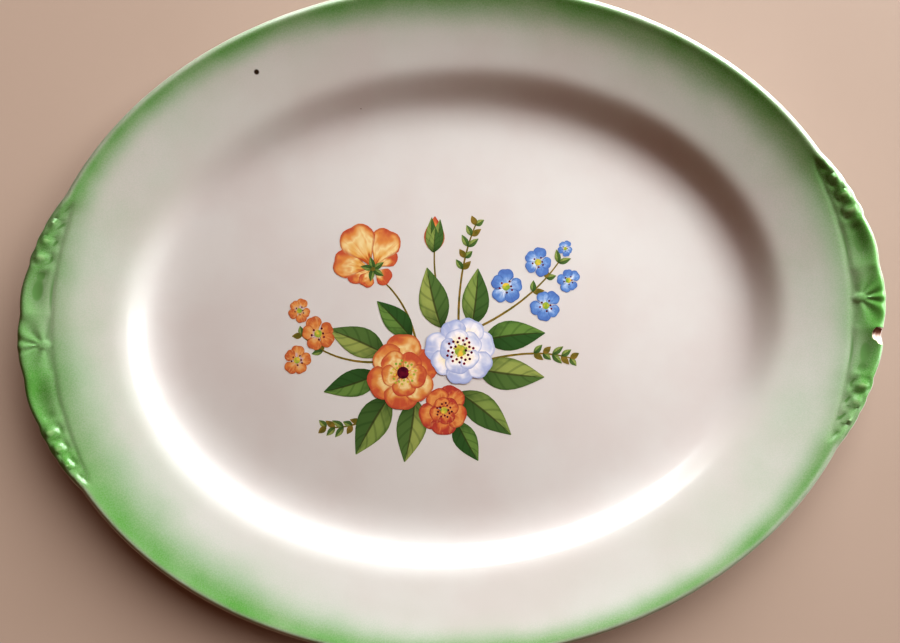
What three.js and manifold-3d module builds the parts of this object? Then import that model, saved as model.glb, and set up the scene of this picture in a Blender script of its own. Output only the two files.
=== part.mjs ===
// Oval serving platter of glazed earthenware, with two scalloped handle tabs and a printed flower spray.
// Millimetres, +Z up. The foot ring stands on z = 0 and +X runs along the long axis, through the handles.
import * as THREE from "three";
import { mergeVertices } from "three/addons/utils/BufferGeometryUtils.js";
import Module from "manifold-3d";

const wasm = await Module();
wasm.setup();

// Oval of the glazed lip, without the handle tabs
const ovalLength = 332;
const ovalWidth = 267;

// Section of the glazed wall: flat well, hollow verge arc, round shoulder arc, straight rim and rolled lip
const wellThickness = 5.2;
const vergeWidth = 20;
const vergeAngle = 33;
const shoulderWidth = 10;
const rimWidth = 30;
const rimAngle = 18;
const rimEdgeThickness = 4.2;
const lipBeadWidth = 4.6;
const lipBeadHeight = 0.6;

// Foot ring, whose contact band is bare clay
const footHeight = 2.8;
const footStep = 1.6;
const footFlankWidth = 1.4;
const footContactWidth = 4;
const bareFootHeight = 1.2;

// Handle tabs: a shell in the middle, a long scoop on each side of it, then a row of beads
const handleReach = 5.5;
const handleBlend = 16;
const shellHalfLength = 12.5;
const scoopLength = 18.5;
const beadLength = 6.75;
const beadCount = 4;
const scallopDepth = 0.9;
const scallopEase = 0.8;
const reliefHeight = 0.9;
const reliefWidth = 10.5;
const reliefMiddleShare = 0.7;
const reliefCrestShare = 0.4;

// Chip broken out of the +X handle
const chipAlong = -15.5;
const chipLength = 7.6;
const chipReach = 5;
const chipDepth = 4.6;
const chipRaise = 1.5;

// Layers on the clay, and the gaps that keep them apart
const glazeThickness = 0.3;
const bandWidth = 28;
const bandThickness = 0.14;
const bandThinEdge = 0.05;
const filmThickness = 0.1;
const bondGap = 0.02;
const printGap = 0.35;

// Flower spray: the bare margin that it keeps to the well's edge, where its middle lies, and its twigs
const sprayMargin = 19;
const sprayShiftX = -9;
const sprayShiftY = -4;
const stalkWidth = 0.9;
const leafletLength = 5.5;
const leafletWidth = 2.6;
const leafletTurn = 40;
const leafletStart = 0.35;
const leafletEnd = 0.96;

// Fineness of the facets
const columnsPerSide = 14;
const vergeSteps = 4;
const longestHandleStep = 6.5;
const noseAngles = [90, 35, -20, -90];

// Sizes that follow
const shoulderInset = rimWidth + shoulderWidth;
const wellInset = shoulderInset + vergeWidth;
const wellHeight = footHeight + wellThickness;
const rimTurn = THREE.MathUtils.degToRad(rimAngle);
const vergeTurn = THREE.MathUtils.degToRad(vergeAngle);
const vergeRadius = vergeWidth / Math.sin(vergeTurn);
const shoulderRadius = shoulderWidth / (Math.sin(vergeTurn) - Math.sin(rimTurn));
const vergeTop = wellHeight + vergeRadius * (1 - Math.cos(vergeTurn));
const shoulderHeight = vergeTop + shoulderRadius * (Math.cos(rimTurn) - Math.cos(vergeTurn));
const footOuterInset = wellInset + footStep + footFlankWidth;
const bareFlankWidth = footFlankWidth * (bareFootHeight / footHeight);
const sprayHalfHeight = ovalWidth / 2 - wellInset - sprayMargin;
const lobeEdges = [shellHalfLength, shellHalfLength + scoopLength];
for (let bead = 1; bead <= beadCount; bead++) {
  lobeEdges.push(shellHalfLength + scoopLength + bead * beadLength);
}
const handleHalfLength = lobeEdges.at(-1);

// Finishes
const biscuitClay = new THREE.MeshStandardMaterial({ color: "#e6dccb", roughness: 0.85, metalness: 0 });
const creamGlaze = new THREE.MeshStandardMaterial({ color: "#efe9e0", roughness: 0.12, metalness: 0 });
const greenColour = new THREE.MeshStandardMaterial({ color: "#7fb866", roughness: 0.15, metalness: 0 });

function printColour(colour) {
  return new THREE.MeshStandardMaterial({ color: colour, roughness: 0.2, metalness: 0 });
}

function smooth(share) {
  const held = Math.min(Math.max(share, 0), 1);
  return held * held * (3 - 2 * held);
}

// Height of the glazed face at a distance in from the oval's edge
function faceHeight(inset) {
  if (inset <= rimWidth) return shoulderHeight + Math.tan(rimTurn) * (rimWidth - inset);
  if (inset <= shoulderInset) {
    const slope = Math.asin(Math.sin(rimTurn) + (inset - rimWidth) / shoulderRadius);
    return shoulderHeight - shoulderRadius * (Math.cos(rimTurn) - Math.cos(slope));
  }
  const slope = Math.asin(Math.max(wellInset - inset, 0) / vergeRadius);
  return wellHeight + vergeRadius * (1 - Math.cos(slope));
}

function backHeight(inset) {
  const share = Math.min(inset / rimWidth, 1);
  return faceHeight(inset) - rimEdgeThickness - (wellThickness - rimEdgeThickness) * share;
}

// Share of a lobe's full bulge at a place along the handle: none at its two ends, full at its middle
function lobeBulge(along) {
  const place = Math.abs(along);
  if (place >= handleHalfLength) return 0;
  const lobe = lobeEdges.findIndex((edge) => place <= edge);
  const start = lobe === 0 ? -shellHalfLength : lobeEdges[lobe - 1];
  return Math.sin((Math.PI * (place - start)) / (lobeEdges[lobe] - start));
}

// How far the handle's edge stands out from the oval
function handleOverhang(along) {
  const share = Math.abs(along) / handleHalfLength;
  if (share >= 1) return 0;
  const fullness = (1 - share * share) ** scallopEase;
  return fullness * (handleReach - scallopDepth * (1 - lobeBulge(along)));
}

// Turns round the oval where each ring has a vertex: close together on the handles, wide on the long sides
function columnTurns() {
  const alongs = [0];
  let start = 0;
  for (const edge of lobeEdges) {
    const steps = Math.max(2, Math.ceil((edge - start) / longestHandleStep / 2) * 2);
    for (let step = 1; step <= steps; step++) alongs.push(start + ((edge - start) * step) / steps);
    start = edge;
  }
  const half = alongs.map((along) => Math.asin(along / (ovalWidth / 2)));
  const mirrored = half.slice(1).map((turn) => Math.PI - turn).reverse();
  const last = half.at(-1);
  for (let step = 1; step < columnsPerSide; step++) {
    half.push(last + ((Math.PI - 2 * last) * step) / columnsPerSide);
  }
  half.push(...mirrored);
  return half.concat(half.map((turn) => turn + Math.PI));
}

const turns = columnTurns();

// One oval ring of points at a station of the section, moved off the glazed surface by an offset
function ring(station, offset = 0) {
  const inset = station.inset - offset * station.out;
  const tab = 1 - smooth(station.inset / handleBlend);
  return turns.map((turn) => {
    const across = Math.cos(turn);
    const along = (ovalWidth / 2) * Math.sin(turn);
    const normal = new THREE.Vector2(ovalWidth * across, ovalLength * Math.sin(turn)).normalize();
    const shift = tab * handleOverhang(along);
    return new THREE.Vector3(
      (ovalLength / 2 - inset) * across + shift * normal.x,
      (ovalWidth / 2 - inset) * Math.sin(turn) + shift * normal.y,
      station.height + offset * station.up + station.relief * lobeBulge(along),
    );
  });
}

// A run of stations with the direction that faces off the surface at each. It starts on the level well
// or the level recess, and goes out over the face or in under the back.
function section(points, startUp) {
  return points.map((point, index) => {
    const before = points[Math.max(index - 1, 0)];
    const after = points[Math.min(index + 1, points.length - 1)];
    const tangent = new THREE.Vector2(before.inset - after.inset, after.height - before.height).normalize();
    const level = index === 0 && startUp !== 0;
    return {
      relief: 0,
      ...point,
      out: level ? 0 : -tangent.y,
      up: level ? startUp : tangent.x,
    };
  });
}

// Glazed section from the well's edge over the rim, round the lip and back under to the foot ring
function glazedSection() {
  const reliefMiddle = (lipBeadWidth + reliefWidth) / 2;
  const faceInsets = [];
  for (let step = 0; step < vergeSteps; step++) {
    faceInsets.push(wellInset - (vergeWidth * step) / vergeSteps);
  }
  faceInsets.push(shoulderInset, shoulderInset - shoulderWidth / 2, rimWidth);
  faceInsets.push(bandWidth, reliefWidth, reliefMiddle, lipBeadWidth);
  const reliefShares = new Map([[reliefMiddle, reliefMiddleShare], [lipBeadWidth, 1]]);
  const face = faceInsets.map((inset) => ({
    inset,
    height: faceHeight(inset),
    relief: reliefHeight * (reliefShares.get(inset) ?? 0),
  }));

  const noseInset = lipBeadWidth / 2;
  const crest = faceHeight(noseInset) + lipBeadHeight;
  const noseMiddle = (crest + backHeight(noseInset)) / 2;
  const noseHalf = (crest - backHeight(noseInset)) / 2;
  const nose = noseAngles.map((degrees) => {
    const angle = THREE.MathUtils.degToRad(degrees);
    return {
      inset: noseInset * (1 - Math.cos(angle)),
      height: noseMiddle + noseHalf * Math.sin(angle),
      relief: degrees === noseAngles[0] ? reliefHeight * reliefCrestShare : 0,
    };
  });

  const backInsets = [handleBlend, rimWidth, shoulderInset, (shoulderInset + wellInset) / 2, wellInset];
  const back = backInsets.map((inset) => ({ inset, height: backHeight(inset) }));
  const flank = [
    { inset: wellInset + footStep, height: footHeight },
    { inset: footOuterInset - bareFlankWidth, height: bareFootHeight },
  ];
  return section([...face, ...nose, ...back, ...flank], 1);
}

// Glazed recess inside the foot ring, from the bare contact band up to its level middle
function recessSection() {
  const footInnerInset = footOuterInset + footContactWidth;
  const stations = [
    { inset: footInnerInset + bareFlankWidth, height: bareFootHeight },
    { inset: footInnerInset + footFlankWidth, height: footHeight },
    { inset: footInnerInset + footFlankWidth + footStep, height: footHeight },
  ];
  return section(stations, 0);
}

// Triangles of the strip between two rings, whose vertices start at the given numbers
function strip(here, there) {
  const triangles = [];
  for (let column = 0; column < turns.length; column++) {
    const next = (column + 1) % turns.length;
    triangles.push([here + column, there + column, there + next]);
    triangles.push([here + column, there + next, here + next]);
  }
  return triangles;
}

// Fan from a ring to its middle point, facing up where the ring comes first and down where it comes last
function fan(start, middle) {
  return turns.map((turn, column) => [middle, start + column, start + ((column + 1) % turns.length)]);
}

function flipped(triangles) {
  return triangles.map(([first, second, third]) => [first, third, second]);
}

function skinGeometry(points, triangles) {
  const geometry = new THREE.BufferGeometry();
  const positions = points.flatMap((point) => point.toArray());
  geometry.setAttribute("position", new THREE.Float32BufferAttribute(positions, 3));
  geometry.setIndex(triangles.flat());
  return geometry;
}

function ringMiddle(points) {
  return new THREE.Vector3(0, 0, points[0].z);
}

// Solid inside a row of rings that starts and ends at a capped ring
function lump(rings) {
  const count = turns.length;
  const points = [...rings.flat(), ringMiddle(rings[0]), ringMiddle(rings.at(-1))];
  const triangles = fan(0, points.length - 2);
  for (let row = 1; row < rings.length; row++) triangles.push(...strip((row - 1) * count, row * count));
  triangles.push(...flipped(fan((rings.length - 1) * count, points.length - 1)));
  return skinGeometry(points, triangles);
}

// Coat between two rows of rings that run alike, closed at its borders and capped at one end or neither
function coat(outer, inner, capped) {
  const count = turns.length;
  const rows = outer.length;
  const under = rows * count;
  const points = [...outer.flat(), ...inner.flat()];
  const triangles = [];
  for (let row = 1; row < rows; row++) {
    triangles.push(...strip((row - 1) * count, row * count));
    triangles.push(...flipped(strip(under + (row - 1) * count, under + row * count)));
  }
  const last = (rows - 1) * count;
  if (capped === "first") {
    points.push(ringMiddle(outer[0]), ringMiddle(inner[0]));
    triangles.push(...fan(0, points.length - 2), ...flipped(fan(under, points.length - 1)));
  } else {
    triangles.push(...strip(under, 0));
  }
  if (capped === "last") {
    points.push(ringMiddle(outer[rows - 1]), ringMiddle(inner[rows - 1]));
    triangles.push(...flipped(fan(last, points.length - 2)), ...fan(under + last, points.length - 1));
  } else {
    triangles.push(...strip(last, under + last));
  }
  return skinGeometry(points, triangles);
}

function toSolid(geometry) {
  const bare = geometry.clone();
  bare.deleteAttribute("normal");
  bare.deleteAttribute("uv");
  const merged = mergeVertices(bare);
  return new wasm.Manifold(
    new wasm.Mesh({
      numProp: 3,
      vertProperties: new Float32Array(merged.attributes.position.array),
      triVerts: new Uint32Array(merged.index.array),
    }),
  );
}

function toGeometry(solid) {
  const mesh = solid.getMesh();
  const geometry = new THREE.BufferGeometry();
  geometry.setAttribute("position", new THREE.Float32BufferAttribute(mesh.vertProperties, 3));
  geometry.setIndex(Array.from(mesh.triVerts));
  return geometry;
}

// The bite that is missing from the edge of the +X handle
function chipCutter(lip) {
  const turn = Math.asin(chipAlong / (ovalWidth / 2));
  const edge = (ovalLength / 2) * Math.cos(turn) + handleOverhang(chipAlong);
  const bite = new THREE.SphereGeometry(1, 14, 10);
  bite.scale(chipReach, chipLength / 2, chipDepth);
  bite.rotateZ(turn);
  bite.translate(edge, chipAlong, lip.height + chipRaise);
  return toSolid(bite);
}

// Length of a share of the spray's half height, which is given in percent
function sprayLength(percent) {
  return (percent / 100) * sprayHalfHeight;
}

function sprayPoint([across, up]) {
  return new THREE.Vector2(sprayShiftX + sprayLength(across), sprayShiftY + sprayLength(up));
}

// Outline of a leaf from its base at the origin along +X, grown all round by a gap
function leafOutline(length, width, bend, grow) {
  const tip = length + grow;
  const pull = 1.22 * (width / 2 + grow);
  const lowerPull = 0.2 * tip;
  const upperPull = 0.65 * tip;
  const shape = new THREE.Shape();
  shape.moveTo(-grow, 0);
  shape.bezierCurveTo(lowerPull, pull, upperPull, pull + bend, tip, bend);
  shape.bezierCurveTo(upperPull, bend - pull, lowerPull, -pull, -grow, 0);
  return shape;
}

// Outline of an open flower with round petals, grown all round by a gap
function bloomOutline(radius, petals, notch, grow) {
  const stepsPerPetal = 5;
  const petalEase = 0.6;
  const points = [];
  for (let step = 0; step < petals * stepsPerPetal; step++) {
    const angle = (2 * Math.PI * step) / (petals * stepsPerPetal);
    const fullness = Math.abs(Math.cos((petals * angle) / 2)) ** petalEase;
    const reach = radius * (1 - notch * (1 - fullness)) + grow;
    points.push(new THREE.Vector2(reach * Math.cos(angle), reach * Math.sin(angle)));
  }
  return new THREE.Shape(points);
}

// Outline of a stalk along a curve
function stalkOutline(curve, width, grow) {
  const steps = 6;
  const left = [];
  const right = [];
  for (let step = 0; step <= steps; step++) {
    const share = step / steps;
    const point = curve.getPoint(share);
    const tangent = curve.getTangent(share);
    const side = new THREE.Vector2(-tangent.y, tangent.x).multiplyScalar(width / 2 + grow);
    left.push(point.clone().add(side));
    right.unshift(point.clone().sub(side));
  }
  return new THREE.Shape(left.concat(right));
}

// A film of colour on the well, from an outline that is turned and moved to its place
function film(outline, place, degrees = 0) {
  const geometry = new THREE.ExtrudeGeometry(outline, {
    depth: filmThickness,
    bevelEnabled: false,
    curveSegments: 5,
  });
  geometry.rotateZ(THREE.MathUtils.degToRad(degrees));
  geometry.translate(place.x, place.y, wellHeight + bondGap);
  return toSolid(geometry);
}

// Flowers, from the top of the print down. Places and sizes are in percent of the spray's half height.
const flowers = [
  { name: "ivory_bloom", at: [22, -15], radius: 26, petals: 7, notch: 0.2, turn: 8, colour: "#f1edf2" },
  { name: "apricot_bloom", at: [-22, -29], radius: 28, petals: 6, notch: 0.16, turn: 20, colour: "#ee9a4a" },
  { name: "coral_bloom", at: [7, -59], radius: 19, petals: 5, notch: 0.2, turn: 50, colour: "#e2683f" },
  { name: "poppy_bloom", at: [-48, 62], radius: 27, petals: 5, notch: 0.2, turn: 35, colour: "#f0a860" },
  { name: "blue_flower_1", at: [59, 31], radius: 13, petals: 5, notch: 0.3, turn: 10, colour: "#5f8fe0" },
  { name: "blue_flower_2", at: [88, 15], radius: 12, petals: 5, notch: 0.3, turn: 40, colour: "#6f9ce6" },
  { name: "blue_flower_3", at: [84, 48], radius: 11, petals: 5, notch: 0.3, turn: 70, colour: "#5584d8" },
  { name: "blue_flower_4", at: [106, 33], radius: 9, petals: 5, notch: 0.3, turn: 25, colour: "#7aa6ea" },
  { name: "blue_flower_5", at: [105, 57], radius: 6, petals: 5, notch: 0.3, turn: 55, colour: "#86aeec" },
  { name: "orange_flower_1", at: [-84, 4], radius: 13, petals: 5, notch: 0.3, turn: 30, colour: "#ee8b3c" },
  { name: "orange_flower_2", at: [-101, -15], radius: 11, petals: 5, notch: 0.3, turn: 5, colour: "#f09a4c" },
  { name: "orange_flower_3", at: [-97, 22], radius: 9, petals: 5, notch: 0.3, turn: 60, colour: "#e57f34" },
];

// The bud and the leaves that come out from under the blooms: base, heading in degrees, length and width
const bud = { name: "bud", at: [6, 60], heading: 82, length: 27, width: 16, bend: 2, colour: "#d9824a" };
const leaves = [
  { name: "leaf_1", at: [-40, -11], heading: 148, length: 40, width: 22, bend: 4 },
  { name: "leaf_2", at: [-46, -31], heading: 200, length: 37, width: 20, bend: -4 },
  { name: "leaf_3", at: [-37, -51], heading: 232, length: 44, width: 24, bend: 4 },
  { name: "leaf_4", at: [-15, -55], heading: 262, length: 42, width: 22, bend: -4 },
  { name: "leaf_5", at: [18, -73], heading: 290, length: 28, width: 17, bend: 3 },
  { name: "leaf_6", at: [24, -50], heading: 322, length: 44, width: 22, bend: -4 },
  { name: "leaf_7", at: [40, -31], heading: 345, length: 44, width: 24, bend: 4 },
  { name: "leaf_8", at: [46, -7], heading: 8, length: 40, width: 22, bend: -4 },
  { name: "leaf_9", at: [33, 9], heading: 75, length: 37, width: 20, bend: 4 },
  { name: "leaf_10", at: [7, 9], heading: 105, length: 40, width: 22, bend: -4 },
  { name: "leaf_11", at: [-18, 2], heading: 125, length: 31, width: 18, bend: 3 },
];

// Stalks and leafy twigs: start, pull and end of each curve, with its pairs of leaflets
const twigs = [
  { name: "poppy_stalk", path: [[-11, -4], [-15, 26], [-37, 44]], leaflets: 0 },
  { name: "bud_stalk", path: [[11, 7], [4, 40], [7, 62]], leaflets: 0 },
  { name: "blue_twig", path: [[44, 5], [79, 20], [101, 49]], leaflets: 3 },
  { name: "orange_twig", path: [[-44, -20], [-75, -20], [-98, 5]], leaflets: 2 },
  { name: "top_twig", path: [[22, 11], [24, 50], [40, 81]], leaflets: 5 },
  { name: "right_twig", path: [[48, -22], [80, -16], [106, -26]], leaflets: 5 },
  { name: "lower_twig", path: [[-29, -51], [-58, -72], [-84, -66]], leaflets: 5 },
];

function flowerFilm(flower, grow) {
  const outline = bloomOutline(sprayLength(flower.radius), flower.petals, flower.notch, grow);
  return film(outline, sprayPoint(flower.at), flower.turn);
}

function leafFilm(leaf, grow) {
  const [length, width, bend] = [leaf.length, leaf.width, leaf.bend].map(sprayLength);
  return film(leafOutline(length, width, bend, grow), sprayPoint(leaf.at), leaf.heading);
}

function twigFilm(twig, grow) {
  const curve = new THREE.QuadraticBezierCurve(...twig.path.map(sprayPoint));
  let solid = film(stalkOutline(curve, stalkWidth, grow), new THREE.Vector2());
  for (let pair = 1; pair <= twig.leaflets; pair++) {
    const share = leafletStart + ((leafletEnd - leafletStart) * pair) / twig.leaflets;
    const heading = THREE.MathUtils.radToDeg(curve.getTangent(share).angle());
    for (const side of [-leafletTurn, leafletTurn]) {
      const leaflet = leafOutline(leafletLength, leafletWidth, 0, grow);
      solid = solid.add(film(leaflet, curve.getPoint(share), heading + side));
    }
  }
  return solid;
}

// Every motif of the spray in printing order, with a way to draw it grown by a gap
const leafColour = "#5d8a3a";
const twigColour = "#7d7a36";
const motifs = [
  ...flowers.map((flower) => ({ ...flower, draw: (grow) => flowerFilm(flower, grow) })),
  { ...bud, draw: (grow) => leafFilm(bud, grow) },
  ...leaves.map((leaf) => ({ ...leaf, colour: leafColour, draw: (grow) => leafFilm(leaf, grow) })),
  ...twigs.map((twig) => ({ ...twig, colour: twigColour, draw: (grow) => twigFilm(twig, grow) })),
];

// What is left of a motif outside the ones printed over it, as its one largest island
function largestIsland(solid) {
  return solid.decompose().sort((first, second) => second.volume() - first.volume())[0];
}

function addPiece(group, name, geometry, material) {
  geometry.computeVertexNormals();
  const mesh = new THREE.Mesh(geometry, material);
  mesh.name = name;
  group.add(mesh);
}

const platter = new THREE.Group();
const glazed = glazedSection();
const recess = recessSection();
const clayOffset = -(glazeThickness + bondGap);
const chip = chipCutter(glazed.find((station) => station.inset < lipBeadWidth));

// Clay: glazed section and recess, drawn in by the glaze, with the bare foot between them
const footContact = [footOuterInset, footOuterInset + footContactWidth].map((inset) => ({
  inset,
  height: 0,
  out: 0,
  up: -1,
  relief: 0,
}));
const clay = lump([
  ...glazed.map((station) => ring(station, clayOffset)),
  ...footContact.map((station) => ring(station)),
  ...recess.map((station) => ring(station, clayOffset)),
]);
addPiece(platter, "clay_body", toGeometry(toSolid(clay).subtract(chip)), biscuitClay);

// Glaze: the face, the lip and the back in one coat, and the recess inside the foot ring in another
const faceCoat = coat(
  glazed.map((station) => ring(station)),
  glazed.map((station) => ring(station, -glazeThickness)),
  "first",
);
addPiece(platter, "glaze_coat", toGeometry(toSolid(faceCoat).subtract(chip)), creamGlaze);
const recessCoat = coat(
  recess.map((station) => ring(station)),
  recess.map((station) => ring(station, -glazeThickness)),
  "last",
);
addPiece(platter, "foot_recess_glaze", recessCoat, creamGlaze);

// Green colour on the rim, thinning from the lip inwards
const lipEnd = glazed.findIndex((station) => station.up < 0);
const banded = glazed.slice(0, lipEnd).filter((station) => station.inset <= bandWidth);
const bandTaper = (bandThickness - bandThinEdge) / bandWidth;
const bandTop = (station) => bandThickness - bandTaper * station.inset;
const band = coat(
  banded.map((station) => ring(station, bondGap + bandTop(station))),
  banded.map((station) => ring(station, bondGap)),
  "neither",
);
addPiece(platter, "green_rim_band", toGeometry(toSolid(band).subtract(chip)), greenColour);

// Flower spray: each motif keeps a gap to the ones printed over it
let printedOver = null;
for (const motif of motifs) {
  const drawn = motif.draw(0);
  const shown = printedOver ? largestIsland(drawn.subtract(printedOver)) : drawn;
  addPiece(platter, `print_${motif.name}`, toGeometry(shown), printColour(motif.colour));
  const kept = motif.draw(printGap);
  printedOver = printedOver ? printedOver.add(kept) : kept;
}

export default platter;
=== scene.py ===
import math

import bpy
import numpy as np
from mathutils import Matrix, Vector, noise


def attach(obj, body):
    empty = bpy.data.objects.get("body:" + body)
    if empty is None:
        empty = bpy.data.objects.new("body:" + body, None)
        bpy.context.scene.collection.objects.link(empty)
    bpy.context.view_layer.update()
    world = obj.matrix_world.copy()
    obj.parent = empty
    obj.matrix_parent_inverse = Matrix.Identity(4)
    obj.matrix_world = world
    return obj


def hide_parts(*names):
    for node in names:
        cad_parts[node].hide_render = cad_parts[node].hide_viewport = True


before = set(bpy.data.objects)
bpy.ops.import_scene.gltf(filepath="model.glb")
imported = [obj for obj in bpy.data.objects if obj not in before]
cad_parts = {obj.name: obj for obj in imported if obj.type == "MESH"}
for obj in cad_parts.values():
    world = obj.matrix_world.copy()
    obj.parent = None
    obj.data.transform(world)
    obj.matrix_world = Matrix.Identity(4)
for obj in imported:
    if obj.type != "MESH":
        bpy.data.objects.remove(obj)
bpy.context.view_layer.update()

# Sizes are in millimetres, and MM turns them into metres where a mesh is written.
MM = 0.001

# Oval of the glazed lip without the handle tabs, and the section of the wall
HALF_LENGTH = 166.0
HALF_WIDTH = 133.5
WELL_THICKNESS = 5.2
VERGE_FOOT_WIDTH = 13.0
VERGE_FOOT_ANGLE = math.radians(10)
VERGE_WIDTH = 8.5
VERGE_ANGLE = math.radians(43)
SHOULDER_WIDTH = 8.5
RIM_WIDTH = 30.0
RIM_ANGLE = math.radians(15.5)
FLARE_WIDTH = 22.0
LIP_ANGLE = math.radians(26)
RIM_EDGE_THICKNESS = 4.2
LIP_BEAD_WIDTH = 4.6
LIP_BEAD_HEIGHT = 0.6
FOOT_HEIGHT = 2.8
FOOT_STEP = 1.6
FOOT_FLANK_WIDTH = 1.4
FOOT_CONTACT_WIDTH = 4.0
FOOT_EDGE_FLARE = 0.1
FOOT_EDGE_RISE = 0.3
FOOT_EDGE_RUN = 0.4
BARE_FOOT_HEIGHT = 1.2
RECESS_CURVE_SHARE = 0.8
RECESS_CURVE_RUN = 0.6
RECESS_LEVEL_RUN = 6

# Handle tabs: a shell in the middle, a scoop on each side of it, then a row of beads
HANDLE_REACH = 5.5
HANDLE_BLEND = 16.0
HANDLE_EASE = 0.8
SHELL_HALF_LENGTH = 12.5
SCOOP_LENGTH = 18.5
BEAD_LENGTH = 6.75
BEAD_COUNT = 4
SCALLOP_DEPTH = 0.9
LOBE_EDGES = np.cumsum([SHELL_HALF_LENGTH, SCOOP_LENGTH] + [BEAD_LENGTH] * BEAD_COUNT)
HANDLE_HALF_LENGTH = LOBE_EDGES[-1]

# Relief of a handle: it tilts up from a groove on its inner side, and fades out at its ends
TAB_TILT = 0.3
RELIEF_END_FADE = 5.0
RELIEF_FACING = 0.6
GROOVE_END_INSET = 2.6
GROOVE_BULGE = 6.6
GROOVE_DEPTH = 0.3
GROOVE_SPREAD = 0.8

# Beads with a sunk ring round each, and scoops whose depth runs in shares of the way to the groove
BEAD_RADIUS = 2.3
BEAD_SHRINKING = 0.25
BEAD_HEIGHT = 0.6
BEAD_FULLNESS = 0.8
BEAD_RING_GAP = 0.3
BEAD_RING_SPREAD = 0.7
BEAD_RING_DEPTH = 0.5
SCOOP_MIDDLE = 0.55
SCOOP_SPREAD = 0.3
SCOOP_DEPTH = 0.6
PIT_MIDDLE = (SHELL_HALF_LENGTH + 0.85 * SCOOP_LENGTH, 5.0)
PIT_RADIUS = 2.2
PIT_DEPTH = 0.4

# Shell of ribs that fan out from a boss
BOSS_MIDDLE = (0.0, 7.8)
BOSS_RADIUS = 1.8
BOSS_HEIGHT = 0.35
RIBS_PER_TURN = 9
RIB_HEIGHT = 0.22
RIB_SINK = 0.1
RIB_START = 1.2
RIB_START_FADE = 1.6
RIB_GROOVE_FADE = 1.2
SHELL_END_FADE = 2.5

# Chip broken out of the +X handle: its place and half axes
CHIP_ALONG = -15.5
CHIP_HALF_LENGTH = 4.2
CHIP_REACH = 6.0
CHIP_DEPTH = 4.6
CHIP_RAISE = 1.5

# Break of the chip: lumps by their number to a millimetre and weight, and reaches in shares of its half axes
CHIP_LUMPS = ((0.35, 1.0), (0.9, 0.5))
CHIP_UNEVENNESS = 0.18
CHIP_LUMPY_REACH = 1.4
CHIP_FINE_REACH = 1.5
CHIP_CUTS = 3
CHIP_COLOUR_REACH = 1.08
CHIP_COLOUR_FADE = 0.1

# Layers on the clay
GLAZE_THICKNESS = 0.3
BAND_WIDTH = 28.0
BAND_THICKNESS = 0.08
BAND_THIN_EDGE = 0.006
BAND_THINNING = 3
BAND_FACING = 0.35
BOND_GAP = 0.02

# Sprayed green: its reach, and where passes of the gun widened it, by turn and spread in degrees, steepness
# and added reach
GREEN_REACH = 6.3
GUN_PASSES = ((45, 65, 4, 5.0), (205, 42, 2, 8.7))

# Fade of its core and of its skirt, by cover, end and run in shares of the reach, and mist that drifted in
GREEN_FADES = ((0.79, 1.9, 1.85), (0.14, 3.0, 2.6))
BAND_EDGE_FADE = 8
MIST_WIDTH = 46.0
MIST_FADE = 26
MIST_COVER = 0.06
MIST_COVER_AT_HANDLES = 0.2

# Wear of the green along the lip's crest
LIP_WEAR = 0.5
LIP_WEAR_INSET = 1.6
LIP_WEAR_SPREAD = 1.1

# Flower spray: its place on the well, and the thin films that it is printed in
SPRAY_MARGIN = 19.0
SPRAY_SHIFT = (-9.0, -4.0)
PRINT_THICKNESS = 0.012
PRINT_STEP = 0.004
PRINT_GAP = 0.03

# Order in which the printed films lie over each other, and how far leaves and twigs tuck under the blooms
LEAF_LEVEL = 4
BLOOM_LEVEL = 8
APRICOT_LEVEL = 20
IVORY_LEVEL = 34
TUCK = 6

# Fineness: columns round the oval before subdivision and how they crowd towards the handles, rings of a level
# middle, halvings in which an inset is found, and the angle in degrees up to which faces are shaded smooth
COLUMNS = 104
CROWDING = 0.36
LEVEL_RUN = 3
MIDDLE_SHARE = 0.05
INSET_HALVINGS = 30
SMOOTH_ANGLE = 40


def arc_rise(slope, radius, run):
    """Rise over a level run along an arc that starts at a slope; a negative radius bends it down."""
    end_slope = math.asin(math.sin(slope) + run / radius)
    return radius * (math.cos(slope) - math.cos(end_slope))


# Sizes that follow
SHOULDER_INSET = RIM_WIDTH + SHOULDER_WIDTH
VERGE_INSET = SHOULDER_INSET + VERGE_WIDTH
WELL_INSET = VERGE_INSET + VERGE_FOOT_WIDTH
WELL_HEIGHT = FOOT_HEIGHT + WELL_THICKNESS
VERGE_FOOT_RADIUS = VERGE_FOOT_WIDTH / math.sin(VERGE_FOOT_ANGLE)
VERGE_RADIUS = VERGE_WIDTH / (math.sin(VERGE_ANGLE) - math.sin(VERGE_FOOT_ANGLE))
SHOULDER_RADIUS = SHOULDER_WIDTH / (math.sin(VERGE_ANGLE) - math.sin(RIM_ANGLE))
FLARE_RADIUS = FLARE_WIDTH / (math.sin(LIP_ANGLE) - math.sin(RIM_ANGLE))
VERGE_FOOT_TOP = WELL_HEIGHT + arc_rise(0, VERGE_FOOT_RADIUS, VERGE_FOOT_WIDTH)
VERGE_TOP = VERGE_FOOT_TOP + arc_rise(VERGE_FOOT_ANGLE, VERGE_RADIUS, VERGE_WIDTH)
SHOULDER_TOP = VERGE_TOP + arc_rise(VERGE_ANGLE, -SHOULDER_RADIUS, SHOULDER_WIDTH)
RIM_TOP = SHOULDER_TOP + math.tan(RIM_ANGLE) * (RIM_WIDTH - FLARE_WIDTH)
FOOT_OUTER_INSET = WELL_INSET + FOOT_STEP + FOOT_FLANK_WIDTH
FOOT_INNER_INSET = FOOT_OUTER_INSET + FOOT_CONTACT_WIDTH
BARE_FLANK_WIDTH = FOOT_FLANK_WIDTH * BARE_FOOT_HEIGHT / FOOT_HEIGHT
SPRAY_HALF_HEIGHT = HALF_WIDTH - WELL_INSET - SPRAY_MARGIN

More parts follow.
